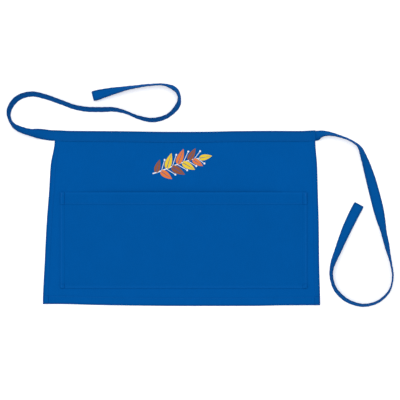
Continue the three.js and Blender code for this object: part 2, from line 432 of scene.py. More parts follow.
panel_cloth = cut_grid(
    "panel_cloth",
    (roll, roll + layer),
    (hem_width - roll, panel_length),
    round(hem_width / grid_spacing),
    round(panel_length / grid_spacing),
)
side_steps = hem_rows_of(bend, fold_steps, side_hem - roll, side_flat_rows)
corner_steps = hem_rows_of(bend + layer, corner_fold_steps, bottom_hem - roll, bottom_flat_rows)
extrude_border(panel_cloth, (-1, 0, 0), side_steps)
extrude_border(panel_cloth, (1, 0, 0), side_steps)
extrude_border(panel_cloth, (0, -1, 0), corner_steps)
for inset in step_lines(side_hem):
    bisect_line(panel_cloth, (inset, 0, 0), (1, 0, 0))
    bisect_line(panel_cloth, (hem_width - inset, 0, 0), (1, 0, 0))
for inset in step_lines(bottom_hem):
    bisect_line(panel_cloth, (0, inset, 0), (0, 1, 0))
thicken(panel_cloth, cloth)

# %% Fold its hems and lay it
# The rows of thread under the waistband and the ties hold them a little off the table
band_ramp = 30 * mm
band_ease = 4 * mm
thread_room = 0.35 * mm
band_climb = 1.0 * mm + thread_room
pressed = 0.18
side_seam = side_hem - 2 * mm
bottom_seam = bottom_hem - 2 * mm


def lay_on_apron(x, y, z):
    """Where a point of the hemmed panel lies. z is its height over the cloth's underside."""
    side = np.minimum(x, hem_width - x)
    side_stack = stacked(side, side_hem)
    stack = (1 + side_stack) * (1 + stacked(y, bottom_hem)) - 1
    in_band = smooth_step(y, skirt_length - band_ramp, skirt_length - band_ease)
    height = (z + layer * stack) * (1 - pressed * in_band * side_stack) + band_climb * in_band
    across = x / hem_width
    up = np.minimum(y / skirt_length, 1)
    laid_x = left_edge(up) * (1 - across) + right_edge(up) * across
    laid_y = hem_line(across) * (1 - up) + (band_top(across) - band_width) * up
    laid_y = laid_y + np.maximum(y - skirt_length, 0)
    return laid_x, laid_y, height + swell(laid_x, laid_y)


cut_x, cut_y, z = read_points(panel_cloth)
to_side = np.minimum(cut_x, hem_width - cut_x)
mark_cloth(
    panel_cloth,
    cut_x,
    cut_y,
    np.minimum(np.abs(to_side), np.abs(cut_y)),
    [to_side - side_seam, cut_y - bottom_seam, np.full_like(cut_x, far_away)],
)
side, z = fold_under(to_side - roll, z, bend)
side = side + roll
x = np.where(cut_x < hem_width / 2, side, hem_width - side)
side_depth = layer * stacked(side, side_hem)
y, z = fold_under(cut_y - roll - side_depth, z, bend + 2 * side_depth, side_depth)
write_points(panel_cloth, *lay_on_apron(x, y + roll + side_depth, z))
smooth_faces(panel_cloth)
print("panel:", len(panel_cloth.data.polygons), "faces")

# %% [markdown]
# ## Patch pocket
# The pocket is a wide patch whose mouth is hemmed first, then its sides and bottom are turned
# under and it is sewn down on three sides. Its mouth isn't sewn, so it stands open a little in
# the middle. That opening is a smooth hill in both directions, from two short tables.

# %% Tables of the pocket's opening
mouth_gape = 8 * mm
gape_across_rows = [
    {"across": 0.00, "lift": 0.00},
    {"across": 0.03, "lift": 0.00},
    {"across": 0.15, "lift": 0.50},
    {"across": 0.28, "lift": 0.95},
    {"across": 0.50, "lift": 1.00},
    {"across": 0.72, "lift": 0.95},
    {"across": 0.85, "lift": 0.50},
    {"across": 0.97, "lift": 0.00},
    {"across": 1.00, "lift": 0.00},
]
gape_up_rows = [
    {"up": 0.00, "lift": 0.00},
    {"up": 0.05, "lift": 0.00},
    {"up": 0.25, "lift": 0.55},
    {"up": 0.45, "lift": 0.85},
    {"up": 0.75, "lift": 0.98},
    {"up": 1.00, "lift": 1.00},
]
print(f"the mouth stands open by {mouth_gape / mm:.0f} mm")

# %% Cut the pocket
pocket_turn = 9 * mm
mouth_hem = 28 * mm
turn_flat_rows, mouth_flat_rows = 3, 8

pocket_cloth = cut_grid(
    "pocket_cloth",
    (roll + layer, roll + layer),
    (pocket_width - roll - layer, pocket_height - roll),
    round(pocket_width / grid_spacing),
    round(pocket_height / grid_spacing),
)
mouth_steps = hem_rows_of(bend, fold_steps, mouth_hem - roll, mouth_flat_rows)
turn_steps = hem_rows_of(bend + layer, corner_fold_steps, pocket_turn - roll, turn_flat_rows)
extrude_border(pocket_cloth, (0, 1, 0), mouth_steps)
extrude_border(pocket_cloth, (-1, 0, 0), turn_steps)
extrude_border(pocket_cloth, (1, 0, 0), turn_steps)
extrude_border(pocket_cloth, (0, -1, 0), turn_steps)
for inset in step_lines(pocket_turn):
    bisect_line(pocket_cloth, (inset, 0, 0), (1, 0, 0))
    bisect_line(pocket_cloth, (pocket_width - inset, 0, 0), (1, 0, 0))
    bisect_line(pocket_cloth, (0, inset, 0), (0, 1, 0))
for inset in step_lines(mouth_hem):
    bisect_line(pocket_cloth, (0, pocket_height - inset, 0), (0, 1, 0))
thicken(pocket_cloth, cloth)

# %% Fold its edges and lay it on the panel
pocket_seam = 3 * mm
mouth_seam = mouth_hem - 2 * mm


def lay_on_pocket(x, y, z):
    """Where a point of the hemmed pocket lies. z is its height over the cloth's underside."""
    side = np.minimum(x, pocket_width - x)
    stack = (
        (1 + stacked(side, pocket_turn))
        * (1 + stacked(y, pocket_turn))
        * (1 + stacked(pocket_height - y, mouth_hem))
        - 1
    )
    gape = (
        mouth_gape
        * read_rows(gape_across_rows, "across", "lift", x / pocket_width)
        * read_rows(gape_up_rows, "up", "lift", y / pocket_height)
    )
    laid_x, laid_y = pocket_low.x + x, pocket_low.y + y
    height = z + layer * (1 + stack) + gape
    return laid_x, laid_y, height + swell(laid_x, laid_y)


cut_x, cut_y, z = read_points(pocket_cloth)
to_side = np.minimum(cut_x, pocket_width - cut_x)
to_mouth = pocket_height - cut_y
mark_cloth(
    pocket_cloth,
    cut_x,
    cut_y,
    np.minimum(np.minimum(np.abs(to_side), np.abs(cut_y)), np.abs(to_mouth)),
    [to_side - pocket_seam, cut_y - pocket_seam, to_mouth - mouth_seam],
)
mouth, z = fold_under(to_mouth - roll, z, bend)
y = pocket_height - mouth - roll
mouth_depth = layer * stacked(pocket_height - y, mouth_hem)
side, z = fold_under(to_side - roll - mouth_depth, z, bend + 2 * mouth_depth, mouth_depth)
side = side + roll + mouth_depth
x = np.where(cut_x < pocket_width / 2, side, pocket_width - side)
side_depth = layer * stacked(side, pocket_turn)
low_y, low_z = fold_under(y - roll - side_depth, z, bend + 2 * side_depth, side_depth)
near_bottom = cut_y < pocket_height / 2
y = np.where(near_bottom, low_y + roll + side_depth, y)
z = np.where(near_bottom, low_z, z)
write_points(pocket_cloth, *lay_on_pocket(x, y, z))
smooth_faces(pocket_cloth)
print("pocket:", len(pocket_cloth.data.polygons), "faces")

# %% [markdown]
# ## Tape
# Waistband and ties are one kind of tape: a strip of thinner twill whose two raw edges are turned
# in, and which is then folded lengthwise. That makes four layers, with one closed edge and one
# open edge that is stitched shut. The waistband is the stretch where the panel's top edge lies
# between the walls, so its walls stand further apart. Both come from the same two folds.

# %% The tape's two folds
tape_cloth = 0.45 * mm
tape_air = 0.05 * mm
tape_layer = tape_cloth + tape_air
tape_turn = 8 * mm
tape_roll = tape_cloth + tape_air / 2
tape_bend = math.pi * tape_layer / 2
tape_seam = 2 * mm
band_gap = 1.7 * mm
fold_columns, wall_steps = 8, 8
edge_fold_steps, edge_flat_rows = 5, 2


def half_thickness(gap):
    """Half the height of the folded tape, with this gap between its walls."""
    return tape_cloth + tape_layer + gap / 2


def fold_length(gap):
    """Length of cloth in the lengthwise fold."""
    return math.pi * (tape_cloth / 2 + tape_layer + gap / 2)


def half_cut(gap):
    """Distance on the flat tape from its middle to the line where an edge is turned in."""
    return band_width - half_thickness(gap) + fold_length(gap) / 2


def fold_tape(across, z, gap, closed_side):
    """Folds the tape. Returns places across it and heights, both from the folded tape's middle.

    closed_side is 1 or -1, the side on which the closed edge comes to lie.
    """
    half = half_cut(gap)
    inner, z = fold_under(half - np.abs(across) - tape_roll, z, tape_bend, 0.0, tape_air)
    across = np.sign(across) * (half - inner - tape_roll)
    place = -closed_side * across - fold_length(gap) / 2
    place, z = fold_under(place, z, fold_length(gap), tape_layer, gap)
    width_from_fold = place + half_thickness(gap)
    return closed_side * (band_width / 2 - width_from_fold), z + tape_layer + gap / 2


def cut_tape(name, start, end, columns, gap):
    """A flat strip along X, with its fold in the middle and its edges' turnings extruded."""
    fold = fold_length(gap) / 2
    tape = cut_grid(name, (start, -fold), (end, fold), columns, fold_columns)
    wall = (half_cut(gap) - tape_roll - fold) / wall_steps
    turned = hem_rows_of(tape_bend, edge_fold_steps, tape_turn - tape_roll, edge_flat_rows)
    steps = [wall] * wall_steps + turned
    extrude_border(tape, (0, 1, 0), steps)
    extrude_border(tape, (0, -1, 0), steps)
    return tape, 2 * (fold + sum(steps))


def mark_tape(tape, gap, to_end, free_edge=0.0):
    """Marks both edges of the tape, its two rows of stitches, and the turned end if it has one.

    free_edge is added to the distance to the open edge, where that edge lies pressed flat, so that the
    painted edge shade keeps off it.
    """
    cut_x, cut_y, z = read_points(tape)
    from_fold = np.abs(cut_y) - fold_length(gap) / 2 + half_thickness(gap)
    from_opening = band_width - from_fold
    mark_cloth(
        tape,
        cut_x,
        cut_y,
        np.minimum(np.minimum(np.abs(from_fold), np.abs(from_opening) + free_edge), np.abs(to_end)),
        [from_fold - tape_seam, from_opening - tape_seam, to_end - end_seam],
    )


end_turn = 20 * mm
end_seam = end_turn - 3 * mm
print(f"folded tape is {2 * half_thickness(tape_air) / mm:.2f} mm thick")

# %% Waistband
band_length = right_edge(1.0) - left_edge(1.0)
waistband_tape, band_cut_width = cut_tape(
    "waistband_tape", 0, band_length, round(band_length / grid_spacing), band_gap
)
thicken(waistband_tape, tape_cloth)
no_end = np.full(len(waistband_tape.data.vertices), far_away)
mark_tape(waistband_tape, band_gap, no_end, far_away)


def lay_on_band(x, across, z):
    """Where a point of the folded waistband lies, with across and z from the tape's middle."""
    laid_x = left_edge(1.0) + x
    laid_y = band_top(x / band_length) - band_width / 2 + across
    height = z + half_thickness(band_gap) + thread_room
    return laid_x, laid_y, height + swell(laid_x, laid_y)


x, y, z = read_points(waistband_tape)
y, z = fold_tape(y, z, band_gap, 1)
write_points(waistband_tape, *lay_on_band(x, y, z))
smooth_faces(waistband_tape)
print(f"waistband cut {band_cut_width / mm:.0f} by {band_length / mm:.0f} mm")

# %% [markdown]
# ## Ties
# A tie is a stiff narrow strap, so it doesn't crumple: it rolls over onto its edge where it turns.
# Seen from above it is wide where it lies flat and a thin line where it stands. Two numbers tell
# that at each place along it: which way it heads, and how far it leans over. The centre line
# is the sum of many short steps in those directions, so the tie keeps its real length.

# %% Tables of the two ties
# Heading in degrees from +X towards +Y. Lean in degrees from lying flat: above 0 the left edge
# is the raised one, and below 0 the right edge.
left_tie_rows = [
    {"along": 0.000, "heading": 180, "lean": 0},
    {"along": 0.020, "heading": 171, "lean": 3},
    {"along": 0.045, "heading": 172, "lean": 21},
    {"along": 0.070, "heading": 169, "lean": 49},
    {"along": 0.106, "heading": 153, "lean": 59},
    {"along": 0.140, "heading": 115, "lean": 77},
    {"along": 0.173, "heading": 73, "lean": 67},
    {"along": 0.207, "heading": 40, "lean": 62},
    {"along": 0.247, "heading": 7, "lean": 64},
    {"along": 0.287, "heading": -16, "lean": 65},
    {"along": 0.357, "heading": -21, "lean": 67},
    {"along": 0.426, "heading": -4, "lean": 65},
    {"along": 0.476, "heading": 2, "lean": 66},
    {"along": 0.517, "heading": -13, "lean": 72},
    {"along": 0.547, "heading": -23, "lean": 77},
    {"along": 0.582, "heading": -17, "lean": 72},
    {"along": 0.627, "heading": 8, "lean": 68},
    {"along": 0.669, "heading": 36, "lean": 71},
    {"along": 0.700, "heading": 59, "lean": 65},
    {"along": 0.729, "heading": 97, "lean": 76},
    {"along": 0.760, "heading": 146, "lean": 68},
    {"along": 0.786, "heading": 169, "lean": 79},
    {"along": 0.807, "heading": 181, "lean": 82},
    {"along": 0.847, "heading": 187, "lean": 79},
    {"along": 0.897, "heading": 190, "lean": 69},
    {"along": 0.943, "heading": 193, "lean": 46},
    {"along": 1.000, "heading": 195, "lean": 18},
]
right_tie_rows = [
    {"along": 0.000, "heading": 0, "lean": 0},
    {"along": 0.005, "heading": 24, "lean": -25},
    {"along": 0.015, "heading": 16, "lean": -48},
    {"along": 0.033, "heading": -5, "lean": -65},
    {"along": 0.065, "heading": -16, "lean": -78},
    {"along": 0.100, "heading": -25, "lean": -82},
    {"along": 0.120, "heading": -36, "lean": -80},
    {"along": 0.150, "heading": -68, "lean": -62},
    {"along": 0.190, "heading": -72, "lean": -42},
    {"along": 0.250, "heading": -75, "lean": -16},
    {"along": 0.299, "heading": -76, "lean": -4},
    {"along": 0.344, "heading": -77, "lean": -29},
    {"along": 0.388, "heading": -77, "lean": -57},
    {"along": 0.422, "heading": -77, "lean": -62},
    {"along": 0.469, "heading": -77, "lean": -79},
    {"along": 0.493, "heading": -81, "lean": -82},
    {"along": 0.533, "heading": -101, "lean": -83},
    {"along": 0.573, "heading": -132, "lean": -78},
    {"along": 0.618, "heading": -162, "lean": -76},
    {"along": 0.663, "heading": -193, "lean": -74},
    {"along": 0.713, "heading": -221, "lean": -71},
    {"along": 0.762, "heading": -254, "lean": -75},
    {"along": 0.792, "heading": -273, "lean": -74},
    {"along": 0.829, "heading": -292, "lean": -61},
    {"along": 0.881, "heading": -292, "lean": -44},
    {"along": 0.930, "heading": -295, "lean": -25},
    {"along": 1.000, "heading": -298, "lean": -6},
]
print("rows for the left and right tie:", len(left_tie_rows), len(right_tie_rows))

# %% Laying a tie along its route
tie_gap = tape_air
tie_root = 15 * mm
tie_settled = 3 * tie_root
root_reach = 0.3 * mm
end_gap = 0.1 * mm
end_roll = 2 * half_thickness(tie_gap) + end_gap / 2
end_bend = math.pi * (half_thickness(tie_gap) + end_gap / 2)
end_flat_rows = 5
route_steps = 600
stitch_ripple, stitch_ripple_length = 0.22 * mm, 2.3 * mm
hand_ripple, hand_ripple_length, hand_ripple_phase = 0.16 * mm, 6.1 * mm, 1.3
ripple_room = stitch_ripple + hand_ripple
corner_draw, corner_reach = 0.07, 6 * mm


def gap_at(x):
    """The tape's walls part over the first stretch, to meet those of the waistband."""
    return tie_gap + (band_gap - tie_gap) * (1 - smooth_step(x, 0, tie_root))


def tie_layer(rows, length, start):
    """Makes the function that lays a point of one folded tie, from its table and its root."""
    places = np.linspace(0, 1, route_steps + 1)
    halfway = np.radians(read_rows(rows, "along", "heading", places[:-1] + 0.5 / route_steps))
    step = length / route_steps
    centre_x = start[0] + step * np.concatenate([[0], np.cumsum(np.cos(halfway))])
    centre_y = start[1] + step * np.concatenate([[0], np.cumsum(np.sin(halfway))])
    root_heading = math.radians(rows[0]["heading"])

    def lay(x, across, z):
        along = np.clip(x / length, 0, 1)
        heading = np.radians(read_rows(rows, "along", "heading", along))
        lean = np.radians(read_rows(rows, "along", "lean", along))
        settled = smooth_step(x, 0, tie_settled)
        edge_share = across / (band_width / 2)
        by_stitch = stitch_ripple * np.sin(x / stitch_ripple_length) * edge_share**2
        by_hand = hand_ripple * np.sin(x / hand_ripple_length + hand_ripple_phase)
        z = z + (by_stitch + by_hand) * settled
        drawn_in = 1 - corner_draw * (1 - smooth_step(length - x, 0, corner_reach))
        across = across * drawn_in
        flat = across * np.cos(lean) - z * np.sin(lean)
        rise = across * np.sin(lean) + z * np.cos(lean)
        high = half_thickness(gap_at(x))
        turned = 1 - smooth_step(length - x, end_turn, end_turn + band_ease)
        low = -high - (2 * high + end_gap) * turned
        half = band_width / 2
        corners = [(-half, low), (-half, high), (half, low), (half, high)]
        lowest = np.min([a * np.sin(lean) + h * np.cos(lean) for a, h in corners], axis=0)
        before = np.minimum(x, 0)
        middle_x = np.interp(along, places, centre_x) + before * math.cos(root_heading)
        middle_y = np.interp(along, places, centre_y) + before * math.sin(root_heading)
        laid_x = middle_x - flat * np.sin(heading)
        laid_y = middle_y + flat * np.cos(heading)
        return laid_x, laid_y, rise - lowest + thread_room + ripple_room * settled

    return lay


def make_tie(name, length, lay, closed_side):
    """Cuts, folds and lays one tie."""
    start, end = -root_reach, length - end_roll
    tape, cut_width = cut_tape(name, start, end, round(length / grid_spacing), tie_gap)
    end_steps = hem_rows_of(end_bend, fold_steps, end_turn - end_roll, end_flat_rows)
    extrude_border(tape, (1, 0, 0), end_steps)
    thicken(tape, tape_cloth)
    x, y, z = read_points(tape)
    mark_tape(tape, tie_gap, length - x)
    y = y * half_cut(gap_at(x)) / half_cut(tie_gap)
    y, z = fold_tape(y, z, gap_at(x), closed_side)
    place, z = fold_under(length - x - end_roll, z, end_bend, half_thickness(tie_gap), end_gap)
    write_points(tape, *lay(length - place - end_roll, y, z))
    smooth_faces(tape)
    cut_length = end - start + sum(end_steps)
    print(f"{name} cut {cut_width / mm:.0f} by {cut_length / mm:.0f} mm")
    return tape, (cut_width, cut_length)


print(f"a tie's turned end takes {end_bend / mm:.1f} mm of tape in its fold")

# %% Both ties
left_tie_length = 816 * mm
right_tie_length = 830 * mm
clearance = 0.3 * mm

left_root = (left_edge(1.0) - clearance, band_top(0.0) - band_width / 2)
right_root = (right_edge(1.0) + clearance, band_top(1.0) - band_width / 2)
lay_on_left_tie = tie_layer(left_tie_rows, left_tie_length, left_root)
lay_on_right_tie = tie_layer(right_tie_rows, right_tie_length, right_root)
left_tape, left_cut = make_tie("tie_left_tape", left_tie_length, lay_on_left_tie, -1)
right_tape, right_cut = make_tie("tie_right_tape", right_tie_length, lay_on_right_tie, 1)

# %% [markdown]
# ## Stitches
# Lockstitch shows as a row of short bars of thread, each pulled into the cloth at both ends. One
# bar is modelled from a small sphere, stretched and bowed, with few faces because it is
# repeated thousands of times. A row is then a set of copies on the flat pattern, and the laying
# function of the piece carries each copy to its place. Real sewing thread is 0.3 mm thick: here
# it is drawn at 0.55 mm, so that it still shows from a metre away.

# %% One stitch
stitch_pitch = 3.2 * mm
stitch_length = 2.7 * mm
thread_width = 0.55 * mm
thread_height = 0.44 * mm
stitch_bow = 0.12 * mm
stitch_sides, stitch_rings = 6, 4

bpy.ops.object.select_all(action="DESELECT")
bpy.ops.mesh.primitive_uv_sphere_add(
    segments=stitch_sides, ring_count=stitch_rings, radius=0.5, rotation=(0, math.pi / 2, 0)
)
stitch = bpy.context.object
stitch.name = "one_stitch"
bpy.ops.object.transform_apply(location=False, rotation=True, scale=False)
bpy.ops.object.mode_set(mode="EDIT")
bpy.ops.mesh.select_all(action="SELECT")
bpy.ops.transform.resize(value=(stitch_length, thread_width, thread_height))
bpy.ops.object.mode_set(mode="OBJECT")
stitch_points = read_points(stitch)
stitch_points[2] += stitch_bow * (1 - (2 * stitch_points[0] / stitch_length) ** 2)
stitch_faces = [tuple(face.vertices) for face in stitch.data.polygons]
bpy.data.objects.remove(stitch)
print("one stitch has", len(stitch_faces), "faces")


# %% Sewing rows of it
thread_random = np.random.default_rng(5)
skew_spread, size_spread = 0.035, 0.03


def row_of(start, end, pitch=stitch_pitch, turned=False):
    """Middles and directions of the stitches in one straight row on the flat pattern."""
    start, end = np.array(start), np.array(end)
    length = np.linalg.norm(end - start)
    way = (end - start) / length
    count = max(1, round(length / pitch))
    middles = start + np.outer((np.arange(count) + 0.5) / count, end - start)
    ways = np.tile([-way[1], way[0]] if turned else way, (count, 1))
    return middles, ways


def sew(name, rows, height, lay, face=1):
    """Joins a copy of the stitch for every place in the rows into one mesh, and lays it."""
    middles = np.concatenate([middles for middles, ways in rows])
    ways = np.concatenate([ways for middles, ways in rows])
    skew = thread_random.normal(0, skew_spread, len(ways))
    size = thread_random.normal(1, size_spread, len(ways))[:, None]
    ways = ways + np.stack([-ways[:, 1], ways[:, 0]], 1) * skew[:, None]
    along = size * stitch_points[0]
    x = middles[:, :1] + along * ways[:, :1] - face * stitch_points[1] * ways[:, 1:]
    y = middles[:, 1:] + along * ways[:, 1:] + face * stitch_points[1] * ways[:, :1]
    z = height + face * np.tile(stitch_points[2], (len(middles), 1))
    laid = np.stack(lay(x.ravel(), y.ravel(), z.ravel()), 1)
    shift = np.arange(len(middles)) * stitch_points.shape[1]
    faces = [tuple(corner + first for corner in face) for first in shift for face in stitch_faces]
    mesh = bpy.data.meshes.new(name)
    mesh.from_pydata(laid.tolist(), [], faces)
    thread = bpy.data.objects.new(name, mesh)
    bpy.context.scene.collection.objects.link(thread)
    smooth_faces(thread)
    print(f"{name}: {len(middles)} stitches")
    return thread


print(f"stitches turn by up to about {math.degrees(2 * skew_spread):.0f} degrees")

# %% Sew the hems, the pocket, the waistband and the ties
above_cloth, above_tape = 0.04 * mm, 0.02 * mm
top_of_cloth = cloth + above_cloth
row_end = 1.5 * mm

hem_stitches = sew(
    "hem_stitches",
    [
        row_of((side_seam, row_end), (side_seam, skirt_length)),
        row_of((hem_width - side_seam, row_end), (hem_width - side_seam, skirt_length)),
        row_of((row_end, bottom_seam), (hem_width - row_end, bottom_seam)),
    ],
    top_of_cloth,
    lay_on_apron,
)

tack_length = 9 * mm
tack_pitch = 0.75 * mm
mouth_line = pocket_height - mouth_seam
pocket_rows = [
    row_of((pocket_seam, pocket_height - row_end), (pocket_seam, pocket_seam)),
    row_of((pocket_seam, pocket_seam), (pocket_width - pocket_seam, pocket_seam)),
    row_of(
        (pocket_width - pocket_seam, pocket_seam),
        (pocket_width - pocket_seam, pocket_height - row_end),
    ),
    row_of((pocket_seam, mouth_line), (pocket_width - pocket_seam, mouth_line)),
]
for tack_x in (pocket_seam, pocket_width - pocket_seam):
    tack_top = (tack_x, pocket_height - row_end)
    tack_foot = (tack_x, pocket_height - row_end - tack_length)
    pocket_rows.append(row_of(tack_top, tack_foot, tack_pitch, turned=True))
pocket_stitches = sew("pocket_stitches", pocket_rows, top_of_cloth, lay_on_pocket)


def tape_rows(length):
    """The two rows that run along a tape, near its closed and its open edge."""
    inset = band_width / 2 - tape_seam
    return [row_of((0, side * inset), (length, side * inset)) for side in (1, -1)]


def sew_band():
    """Sews both faces of the waistband."""
    height = half_thickness(band_gap) + above_tape
    rows = tape_rows(band_length)
    return [
        sew("band_stitches_front", rows, height, lay_on_band, 1),
        sew("band_stitches_back", rows, -height, lay_on_band, -1),
    ]


def sew_tie(name, length, lay):
    """Sews both faces of a tie, which both show, and the row that holds its turned end."""
    height = half_thickness(tie_gap) + above_tape
    below_turn = height + 2 * half_thickness(tie_gap) + end_gap
    inset = band_width / 2 - tape_seam
    end_row = row_of((length - end_seam, -inset), (length - end_seam, inset))
    return [
        sew(f"{name}_front", tape_rows(length - row_end) + [end_row], height, lay, 1),
        sew(f"{name}_back", tape_rows(length - end_turn), -height, lay, -1),
        sew(f"{name}_end", [end_row], -below_turn, lay, -1),
    ]


band_stitches = sew_band()
left_stitches = sew_tie("left_tie_stitches", left_tie_length, lay_on_left_tie)
right_stitches = sew_tie("right_tie_stitches", right_tie_length, lay_on_right_tie)

# %% [markdown]
# ## Printed sprig
# Above the pocket the panel carries a small screen print: a white stem with white berries, and
# leaves in brown, orange and yellow. Ink on twill is a thin film that follows the cloth. It could
# be painted in the material, but a film of its own keeps a crisp edge at any size. One leaf is
# cut from a disc, drawn out to a point, and split along its midrib so that the cloth shows.

# %% One leaf, one berry and one stalk
ink = 0.07 * mm
leaf_corners, berry_corners = 32, 12
leaf_breadth, leaf_point = 0.56, 1.02
rib_gap, rib_end = 0.08, 0.88
rib_cuts, stalk_faces, stem_faces = 6, 8, 48


def cut_disc(name, corners):
    """A flat disc from (0, 0) to (1, 0)."""
    bpy.ops.object.select_all(action="DESELECT")
    bpy.ops.mesh.primitive_circle_add(
        vertices=corners, radius=0.5, fill_type="NGON", location=(0.5, 0, 0)
    )
    disc = bpy.context.object
    disc.name = name
    bpy.ops.object.transform_apply(location=True, rotation=False, scale=False)
    return disc


def split_midrib(leaf):
    """Takes out a narrow strip along the middle, up to near the tip."""
    for number in range(1, rib_cuts + 1):
        bisect_line(leaf, (rib_end * number / rib_cuts, 0, 0), (1, 0, 0))
    for side in (-1, 1):
        bisect_line(leaf, (0, side * rib_gap / 2, 0), (0, 1, 0))
    bpy.ops.object.mode_set(mode="EDIT")
    bpy.ops.mesh.select_mode(type="FACE")
    bpy.ops.mesh.select_all(action="DESELECT")
    mesh = bmesh.from_edit_mesh(leaf.data)
    for face in mesh.faces:
        middle = face.calc_center_median()
        face.select_set(abs(middle.y) < rib_gap / 2 and middle.x < rib_end)
    bmesh.update_edit_mesh(leaf.data)
    bpy.ops.mesh.delete(type="FACE")
    bpy.ops.object.mode_set(mode="OBJECT")


def take_shape(shape):
    """Thickens a flat shape to a height of 1. Returns its points and faces, and removes it."""
    thicken(shape, 1.0)
    points = read_points(shape)
    faces = [tuple(face.vertices) for face in shape.data.polygons]
    bpy.data.objects.remove(shape)
    return points, faces


one_leaf = cut_disc("one_leaf", leaf_corners)
split_midrib(one_leaf)
leaf = take_shape(one_leaf)
leaf[0][1] *= leaf_breadth * np.sqrt(leaf_point - leaf[0][0])
berry = take_shape(cut_disc("one_berry", berry_corners))
stalk = take_shape(cut_grid("one_stalk", (0, -0.5), (1, 0.5), stalk_faces, 1))
stem = take_shape(cut_grid("stem", (0, -0.5), (1, 0.5), stem_faces, 1))
print("one leaf has", len(leaf[1]), "faces")

# %% Tables of the sprig
stem_left, stem_right = -76 * mm, 38 * mm
stem_height, stem_rise, stem_bow = 116 * mm, 19 * mm, 9.5 * mm
stem_wave, stem_start = 2.9, -1.1
stem_width, stalk_width, berry_width = 2.8 * mm, 1.3 * mm, 4.6 * mm
stem_taper = 0.5

# Thickness of each shape's ink, in films, so that shapes that cross never share a face
leaf_films, stalk_films, berry_films = 1.2, 0.8, 1.1

leaf_rows = [
    {"along": 0.07, "side": 1, "turn": 58, "long": 32, "ink": "brown"},
    {"along": 0.17, "side": -1, "turn": 54, "long": 34, "ink": "orange"},
    {"along": 0.30, "side": 1, "turn": 54, "long": 38, "ink": "yellow"},
    {"along": 0.40, "side": -1, "turn": 52, "long": 38, "ink": "brown"},
    {"along": 0.53, "side": 1, "turn": 50, "long": 38, "ink": "orange"},
    {"along": 0.63, "side": -1, "turn": 48, "long": 36, "ink": "yellow"},
    {"along": 0.76, "side": 1, "turn": 46, "long": 33, "ink": "brown"},
    {"along": 0.85, "side": -1, "turn": 44, "long": 30, "ink": "orange"},
    {"along": 0.99, "side": 1, "turn": 3, "long": 32, "ink": "yellow"},
]
berry_rows = [
    {"along": 0.19, "side": 1, "turn": 56, "long": 24},
    {"along": 0.29, "side": -1, "turn": 53, "long": 24},
    {"along": 0.42, "side": 1, "turn": 52, "long": 26},
    {"along": 0.52, "side": -1, "turn": 50, "long": 26},
    {"along": 0.65, "side": 1, "turn": 48, "long": 25},
    {"along": 0.74, "side": -1, "turn": 46, "long": 23},
    {"along": 0.88, "side": 1, "turn": 42, "long": 21},
    {"along": 0.95, "side": -1, "turn": 42, "long": 19},
]
print(len(leaf_rows), "leaves and", len(berry_rows), "berries")

# %% Print the sprig on the panel
def stem_place(along):
    """Middle of the stem at a share of its length, and the way it heads there."""
    length = stem_right - stem_left
    phase = stem_wave * along + stem_start
    y = stem_height + stem_rise * along + stem_bow * np.sin(phase)
    slope = (stem_rise + stem_bow * stem_wave * np.cos(phase)) / length
    return stem_left + length * along, y, np.arctan(slope)


ink_names = ["white", "brown", "orange", "yellow"]
print_points, print_faces, print_inks = [], [], []


def add_ink(x, y, z, faces, name):
    """Adds a shape to the print, in one ink."""
    first = sum(len(points) for points in print_points)
    print_points.append(np.stack([x, y, z], 1))
    print_faces.extend(tuple(corner + first for corner in face) for face in faces)
    print_inks.extend([ink_names.index(name)] * len(faces))


def add_branch(shape, row, start, size, films, name):
    """Adds a shape that grows from the stem, with its root at a distance out from it."""
    points, faces = shape
    foot_x, foot_y, foot_turn = stem_place(row["along"])
    turn = foot_turn + row["side"] * math.radians(row["turn"])
    along, out = start + points[0] * size[0], points[1] * size[1]
    x = foot_x + along * math.cos(turn) - out * math.sin(turn)
    y = foot_y + along * math.sin(turn) + out * math.cos(turn)
    add_ink(x, y, points[2] * ink * films, faces, name)


share, width_share, z = stem[0]
stem_x, stem_y, stem_turn = stem_place(share)
half_width = width_share * stem_width * (1 - stem_taper * share)
across_x, across_y = -half_width * np.sin(stem_turn), half_width * np.cos(stem_turn)
add_ink(stem_x + across_x, stem_y + across_y, z * ink, stem[1], "white")
for row in leaf_rows:
    long = row["long"] * mm
    add_branch(leaf, row, 0, (long, long), leaf_films, row["ink"])
for row in berry_rows:
    long = row["long"] * mm
    add_branch(stalk, row, 0, (long, stalk_width), stalk_films, "white")
    add_branch(berry, row, long, (berry_width, berry_width), berry_films, "white")

x, y, z = np.concatenate(print_points).T
laid = np.stack(lay_on_apron(x + hem_width / 2, y - apron_bottom, z + cloth), 1)
print_mesh = bpy.data.meshes.new("screen_print")
print_mesh.from_pydata(laid.tolist(), [], print_faces)
screen_print = bpy.data.objects.new("screen_print", print_mesh)
bpy.context.scene.collection.objects.link(screen_print)
print("print:", len(print_faces), "faces")

# %% [markdown]
# ## Materials
# Each finish starts from what the real one is. Its colours are written as sRGB hex values, the
# way a dyer's chart gives them, and turned to the linear values that shaders need. Patterns read
# the UV map "cut", so that the weave follows the cloth through every fold. One small function
# adds a node, sets it and links it.

# %% Colours and nodes
def linear(colour):
    """Turns an sRGB hex colour into linear RGBA."""
    parts = [int(colour[i:i + 2], 16) / 255 for i in (1, 3, 5)]
    return [part / 12.92 if part <= 0.04045 else ((part + 0.055) / 1.055) ** 2.4 for part in parts] + [1]


def new_material(name):
    """An empty node material, with its output."""
    material = bpy.data.materials.new(name)
    material.use_nodes = True
    tree = material.node_tree
    tree.nodes.clear()
    return material, tree


def add_node(tree, kind, inputs=None, **properties):
    """Adds a node. An input is either a value, or an output to link."""
    made = tree.nodes.new(kind)
    for name, value in properties.items():
        setattr(made, name, value)
    for name, value in (inputs or {}).items():
        if isinstance(value, bpy.types.NodeSocket):
            tree.links.new(value, made.inputs[name])
        else:
            made.inputs[name].default_value = value
    return made


